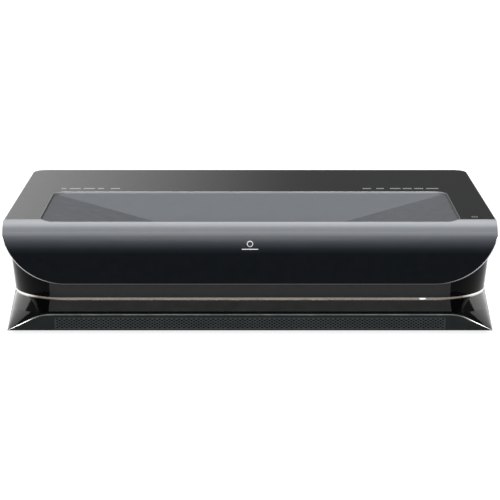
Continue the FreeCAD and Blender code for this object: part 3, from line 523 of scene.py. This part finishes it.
def glass(name, colour, alpha, roughness):
    """Coated glass that shows what lies behind it."""
    s = Surface(name, colour, roughness)
    s.shader.inputs["Alpha"].default_value = alpha
    s.shader.inputs["Coat Weight"].default_value = 0.4
    s.vary_roughness(roughness, roughness + 0.04, 50.0)
    s.mottle(tuple(0.6 * c for c in colour), 15.0, 0.5)
    return s.material


LED_GLOW = (0.62, 0.04)       # emission in the middle and at the ends of the status light


def led_white():
    """Diffuser that is brightest in its middle."""
    s = Surface("led_white", (0.30, 0.30, 0.30), 0.35)
    s.shader.inputs["Emission Color"].default_value = (1.0, 1.0, 0.98, 1.0)
    low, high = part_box("status_led_lens")
    offset = s.math("ABSOLUTE", s.math("SUBTRACT", s.axis(0), (low[0] + high[0]) / 2))
    half = (high[0] - low[0]) / 2
    s.link(s.span(offset, *LED_GLOW, 0.4 * half, 0.95 * half), s.shader.inputs["Emission Strength"])
    s.vary_roughness(0.3, 0.45, 400.0)
    s.mottle((0.36, 0.36, 0.36), 300.0, 0.5)
    return s.material


def circuit_board():
    """Solder mask with darker tracks."""
    s = Surface("circuit_board", (0.008, 0.06, 0.028), 0.35)
    brick = s.tree.nodes.new("ShaderNodeTexBrick")
    brick.inputs["Scale"].default_value = 160.0
    s.link(s.coords, brick.inputs["Vector"])
    s.mix(s.span(brick.outputs["Fac"], 0.0, 0.7, 0.2, 0.8), (0.02, 0.11, 0.05))
    s.mottle((0.3, 0.3, 0.3), 700.0, 0.15)
    s.vary_roughness(0.3, 0.45, 150.0)
    s.bump(brick.outputs["Fac"], 0.00004, 0.5)
    return s.material


def rubber():
    """Matt rubber with a fine grain."""
    s = Surface("black_rubber", (0.012, 0.012, 0.012), 0.75, specular=0.3)
    s.vary_roughness(0.65, 0.85, 120.0)
    s.mottle((0.03, 0.03, 0.03), 60.0, 0.6)
    s.bump(s.noise(2200.0, 3.0), 0.00008, 0.7)
    return s.material


def woven_cloth():
    """Black acoustic cloth with a fine weave."""
    s = Surface("woven_cloth", (0.0012, 0.0013, 0.0014), 0.85, specular=0.05)
    s.vary_roughness(0.80, 0.95, 200.0)
    s.mottle((0.0022, 0.0023, 0.0024), 500.0, 0.6)
    s.bump(s.noise(3500.0, 2.0, (1.0, 1.0, 0.5)), 0.00005, 0.6)
    return s.material


WAIST_PAINTED_HIGHLIGHT = ((0.86, 0.86, 0.84), (0.262, 0.276))     # painted highlight at the ends: colour, start and full
# painted highlight at the ends of the visor's trim
VISOR_TRIM_PAINTED_HIGHLIGHT = ((0.55, 0.55, 0.57), (0.235, 0.290))


def finishes():
    """One material for each slot of the record."""
    return {
        "satin_deck": satin_deck(),
        "visor_gloss": visor_gloss(),
        "trim_metal": trim("trim_metal", (0.215, 0.187, 0.160), 0.28, 1.0, *WAIST_PAINTED_HIGHLIGHT),
        "dark_trim": trim("dark_trim", (0.085, 0.087, 0.092), 0.25, 1.0, *VISOR_TRIM_PAINTED_HIGHLIGHT),
        "bezel_silver": bezel_silver(),
        "recess_plastic": recess_plastic(),
        "window_glass": glass("window_glass", (0.02, 0.035, 0.045), 0.75, 0.03),
        "black_rubber": rubber(),
        "piano_black": piano_black("piano_black", 0.04),
        "grille_plastic": moulded("grille_plastic", (0.012, 0.012, 0.013), 0.48),
        "panel_grey": front_panels(),
        "led_white": led_white(),
        "base_plastic": moulded("base_plastic", (0.016, 0.0165, 0.018), 0.52),
        "plinth_grey": painted_plinth(),
        "speaker_mesh": moulded("speaker_mesh", (0.0098, 0.0120, 0.0120), 0.42, specular=0.15, worn=0.0),
        "plated_steel": metal("plated_steel", (0.55, 0.55, 0.56), 0.30),
        "socket_black": moulded("socket_black", (0.010, 0.010, 0.010), 0.55),
        "circuit_board": circuit_board(),
        "cast_aluminium": metal("cast_aluminium", (0.45, 0.46, 0.47), 0.50, (1.0, 1.0, 1.0)),
        "lens_glass": glass("lens_glass", (0.55, 0.65, 0.75), 0.35, 0.02),
        "mirror_coating": metal("mirror_coating", (0.88, 0.89, 0.90), 0.10, (1.0, 1.0, 1.0)),
        "fin_aluminium": metal("fin_aluminium", (0.62, 0.63, 0.64), 0.32),
        "copper_pipe": metal("copper_pipe", (0.72, 0.36, 0.22), 0.28, (1.0, 1.0, 1.0)),
        "cone_paper": moulded("cone_paper", (0.018, 0.018, 0.018), 0.80, 500.0, 0.00015),
        "fan_plastic": moulded("fan_plastic", (0.014, 0.014, 0.015), 0.45),
    }


def paint(obj, material):
    obj.data.materials.clear()
    obj.data.materials.append(material)


# --- Pieces ---------------------------------------------------------------
def add_mesh(name, bm, slot, body="housing"):
    mesh = bpy.data.meshes.new(name)
    bm.to_mesh(mesh)
    bm.free()
    obj = bpy.data.objects.new(name, mesh)
    SCENE.collection.objects.link(obj)
    paint(obj, FINISHES[slot])
    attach(obj, body)
    return obj


MESH_COLUMNS = 80
MESH_ROWS = 4
MESH_OPEN = 0.66              # open share of each diamond's width
MESH_THICKNESS = 0.0009
CLOTH_THICKNESS = 0.0004      # black acoustic cloth behind the mesh


def speaker_mesh():
    """Sheet of diamond holes that fills the plinth's window."""
    low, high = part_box("plinth_mesh")
    half_w = (high[0] - low[0]) / (2 * MESH_COLUMNS)
    half_h = (high[2] - low[2]) / (2 * MESH_ROWS)
    bm = bmesh.new()
    grid = {}

    def corner(i, j):
        if (i, j) not in grid:
            grid[i, j] = bm.verts.new((low[0] + i * half_w, low[1], low[2] + j * half_h))
        return grid[i, j]

    last_i = 2 * MESH_COLUMNS
    last_j = 2 * MESH_ROWS
    for i in range(last_i + 1):
        for j in range(last_j + 1):
            if (i + j) % 2:
                continue
            around = [(i + 1, j), (i, j + 1), (i - 1, j), (i, j - 1)]
            inside = [c for c in around if 0 <= c[0] <= last_i and 0 <= c[1] <= last_j]
            if len(inside) == 4:
                centre = Vector((low[0] + i * half_w, low[1], low[2] + j * half_h))
                outer = [corner(*c) for c in around]
                inner = [bm.verts.new(centre.lerp(v.co, MESH_OPEN)) for v in outer]
                for k in range(4):
                    nxt = (k + 1) % 4
                    bm.faces.new((outer[k], outer[nxt], inner[nxt], inner[k]))
            elif len(inside) == 3:
                bm.faces.new([corner(*c) for c in inside])
            else:
                bm.faces.new([corner(i, j)] + [corner(*c) for c in inside])
    bm.normal_update()
    sheet = add_mesh("speaker_mesh_sheet", bm, "speaker_mesh")
    solid = sheet.modifiers.new("thickness", "SOLIDIFY")
    solid.thickness = MESH_THICKNESS
    solid.offset = 0.0
    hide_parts("plinth_mesh")
    cloth = bmesh.new()
    cloth_low = (low[0], high[1], low[2])
    cloth_high = (high[0], high[1] + CLOTH_THICKNESS, high[2])
    block(cloth, cloth_low, cloth_high, CLOTH_THICKNESS / 4)
    paint(add_mesh("speaker_cloth", cloth, "black_rubber"), woven_cloth())


BULGE_RADIUS = 0.108          # the visor's curve and the place of its centre line
BULGE_Y = -0.067
BULGE_Z = 0.104


def on_visor(x, z, lift):
    """Point on the visor's face, lifted off it by a little."""
    turn = math.asin((z - BULGE_Z) / BULGE_RADIUS)
    reach = BULGE_RADIUS + lift
    return Vector((x, BULGE_Y - reach * math.cos(turn), BULGE_Z + reach * math.sin(turn)))


BADGE_LIFT = 0.0002           # how far the mark stands off the visor
RING_RADII = (0.0037, 0.0029)
RING_Z = 0.1182
BAR_HALF = 0.0100             # half length of the bar
BAR_Z = (0.1112, 0.1123)


def strip_walls(bm, rows, closed):
    """Faces along four rows of vertices, which lie round the section in the order 0, 1, 3, 2."""
    count = len(rows[0])
    steps = count if closed else count - 1
    for first, second in ((0, 1), (1, 3), (3, 2), (2, 0)):
        for k in range(steps):
            nxt = (k + 1) % count
            bm.faces.new((rows[first][k], rows[first][nxt], rows[second][nxt], rows[second][k]))
    if not closed:
        for end in (0, steps):
            bm.faces.new([rows[row][end] for row in (0, 1, 3, 2)])


def badge():
    """Generic raised mark: a small ring above a short bar."""
    bm = bmesh.new()
    steps = 40
    rings = []
    for radius in RING_RADII:
        for lift in (0.0, BADGE_LIFT):
            turns = [2 * math.pi * k / steps for k in range(steps)]
            rings.append([bm.verts.new(on_visor(radius * math.cos(t), RING_Z + radius * math.sin(t), lift))
                          for t in turns])
    strip_walls(bm, rings, True)
    columns = 12
    strips = []
    for lift in (0.0, BADGE_LIFT):
        for z in BAR_Z:
            strips.append([bm.verts.new(on_visor(-BAR_HALF + 2 * BAR_HALF * k / columns, z, lift))
                           for k in range(columns + 1)])
    strip_walls(bm, strips, False)
    bmesh.ops.recalc_face_normals(bm, faces=bm.faces)
    mark = add_mesh("front_badge", bm, "bezel_silver")
    paint(mark, trim("badge_silver", (0.36, 0.36, 0.37), 0.35, 0.2))


def block(bm, low, high, chamfer):
    """Adds one chamfered block between two corners."""
    made = bmesh.ops.create_cube(bm, size=1.0)["verts"]
    for vert in made:
        vert.co = [low[i] + (vert.co[i] + 0.5) * (high[i] - low[i]) for i in range(3)]
    edges = list({edge for vert in made for edge in vert.link_edges})
    bmesh.ops.bevel(bm, geom=edges, offset=chamfer, segments=2, affect="EDGES")


# Tongue of each kind of socket: its width, its thickness and the number of contacts
TONGUES = {"hdmi": (0.0100, 0.0011, 19), "usb": (0.0088, 0.0018, 4)}
TONGUE_INSET = (0.0021, 0.0025)   # from the closed end and the mouth of the socket
TONGUE_CHAMFER = 0.00015
CONTACT_INSET = (0.0005, 0.0006)  # from the root and the tip of the tongue
CONTACT_SHARE = 0.6               # a contact's share of the pitch
CONTACT_RISE = 0.0001             # half thickness, centred on the tongue's lower face
CONTACT_CHAMFER = 0.00002


def socket_centres(kind):
    """Middle of each socket of one kind, across, from the openings for its plugs."""
    openings = frame["record"]["physics"]["openings"]
    boxes = [opening["box_m"] for opening in openings if opening["name"].startswith(kind + "_")]
    return [(low[0] + high[0]) / 2 for low, high in boxes]


def socket_tongues():
    """Contact tongue with its gilt contacts in each video and data socket."""
    for kind, (width, thickness, contacts) in TONGUES.items():
        node = kind + "_sockets"
        low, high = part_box(node)
        tongues = bmesh.new()
        strips = bmesh.new()
        middle = (low[2] + high[2]) / 2
        back = low[1] + TONGUE_INSET[0]
        tip = high[1] - TONGUE_INSET[1]
        under = middle - thickness / 2
        pitch = width / (contacts + 1)
        for x in socket_centres(kind):
            left = x - width / 2
            block(tongues, (left, back, under), (left + width, tip, under + thickness), TONGUE_CHAMFER)
            for k in range(contacts):
                start = left + (k + 1) * pitch - pitch * CONTACT_SHARE / 2
                end = start + pitch * CONTACT_SHARE
                block(strips, (start, back + CONTACT_INSET[0], under - CONTACT_RISE),
                      (end, tip - CONTACT_INSET[1], under + CONTACT_RISE), CONTACT_CHAMFER)
        add_mesh(node + "_tongues", tongues, "socket_black")
        add_mesh(node + "_contacts", strips, "copper_pipe")


# --- Build ----------------------------------------------------------------
make_camera()
make_studio()
FINISHES = finishes()
SLOTS = {part["node"]: part["material_slot"] for part in frame["record"]["subparts"]}
for node, obj in NODES.items():
    paint(obj, FINISHES[SLOTS[node]])
paint(NODES["power_button"], button_cap())
paint(NODES["base_skirt"], piano_black("skirt_black", 0.15))    # mirrors more than the side shells
speaker_mesh()
badge()
socket_tongues()
